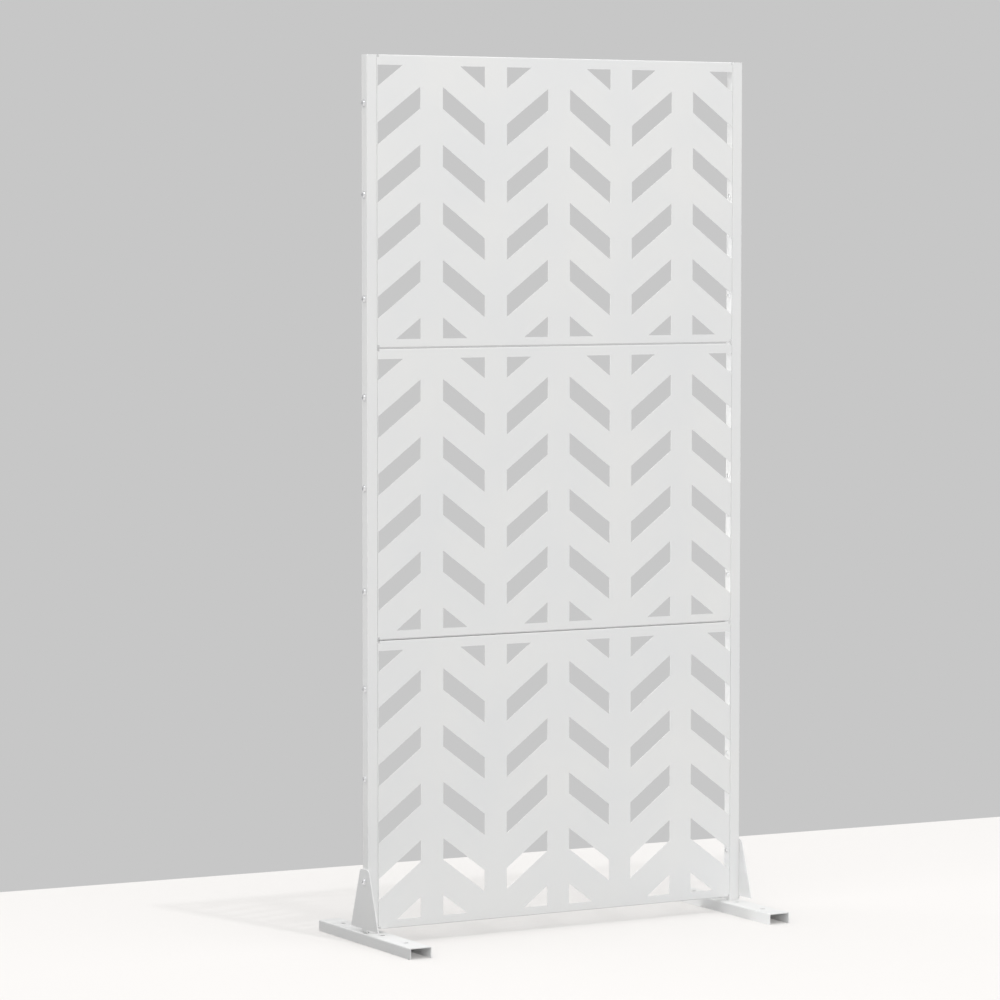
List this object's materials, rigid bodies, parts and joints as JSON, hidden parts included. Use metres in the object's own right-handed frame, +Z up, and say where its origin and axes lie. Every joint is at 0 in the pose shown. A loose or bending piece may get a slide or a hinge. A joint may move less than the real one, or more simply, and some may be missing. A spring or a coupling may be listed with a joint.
{
  "type": "garden privacy screen",
  "caption": "Free-standing garden privacy screen of stacked steel panels pierced with slanted chevron slots, held between square tube posts on inverted channel feet with angle brackets.",
  "frame": {"origin": "on the ground below the middle of the screen, half way between the two posts and the two faces", "axes": "+Z up, +X along the width to the viewer's right, -Y towards the front, the side that the rounded folds of the panels face"},
  "size_m": [0.9386, 0.412, 1.863],
  "materials": {
    "powder_coat": "white satin powder coat with a fine texture",
    "zinc_steel": "bright zinc-plated steel"
  },
  "bodies": {
    "root": {"panel_bottom": "powder_coat", "panel_middle": "powder_coat", "panel_top": "powder_coat", "post_left": "powder_coat", "foot_left": "powder_coat", "bracket_left": "powder_coat", "bracket_bolt_left": "zinc_steel", "rivet_nut_left_bottom_low": "powder_coat", "side_screw_left_bottom_mid": "zinc_steel", "rivet_nut_left_bottom_mid": "powder_coat", "side_screw_left_bottom_high": "zinc_steel", "rivet_nut_left_bottom_high": "powder_coat", "side_screw_left_middle_low": "zinc_steel", "rivet_nut_left_middle_low": "powder_coat", "side_screw_left_middle_mid": "zinc_steel", "rivet_nut_left_middle_mid": "powder_coat", "side_screw_left_middle_high": "zinc_steel", "rivet_nut_left_middle_high": "powder_coat", "side_screw_left_top_low": "zinc_steel", "rivet_nut_left_top_low": "powder_coat", "side_screw_left_top_mid": "zinc_steel", "rivet_nut_left_top_mid": "powder_coat", "side_screw_left_top_high": "zinc_steel", "rivet_nut_left_top_high": "powder_coat", "tab_bolt_left": "zinc_steel", "tab_nut_left": "zinc_steel", "post_right": "powder_coat", "foot_right": "powder_coat", "bracket_right": "powder_coat", "bracket_bolt_right": "zinc_steel", "rivet_nut_right_bottom_low": "powder_coat", "side_screw_right_bottom_mid": "zinc_steel", "rivet_nut_right_bottom_mid": "powder_coat", "side_screw_right_bottom_high": "zinc_steel", "rivet_nut_right_bottom_high": "powder_coat", "side_screw_right_middle_low": "zinc_steel", "rivet_nut_right_middle_low": "powder_coat", "side_screw_right_middle_mid": "zinc_steel", "rivet_nut_right_middle_mid": "powder_coat", "side_screw_right_middle_high": "zinc_steel", "rivet_nut_right_middle_high": "powder_coat", "side_screw_right_top_low": "zinc_steel", "rivet_nut_right_top_low": "powder_coat", "side_screw_right_top_mid": "zinc_steel", "rivet_nut_right_top_mid": "powder_coat", "side_screw_right_top_high": "zinc_steel", "rivet_nut_right_top_high": "powder_coat", "tab_bolt_right": "zinc_steel", "tab_nut_right": "zinc_steel"}
  },
  "joints": []
}
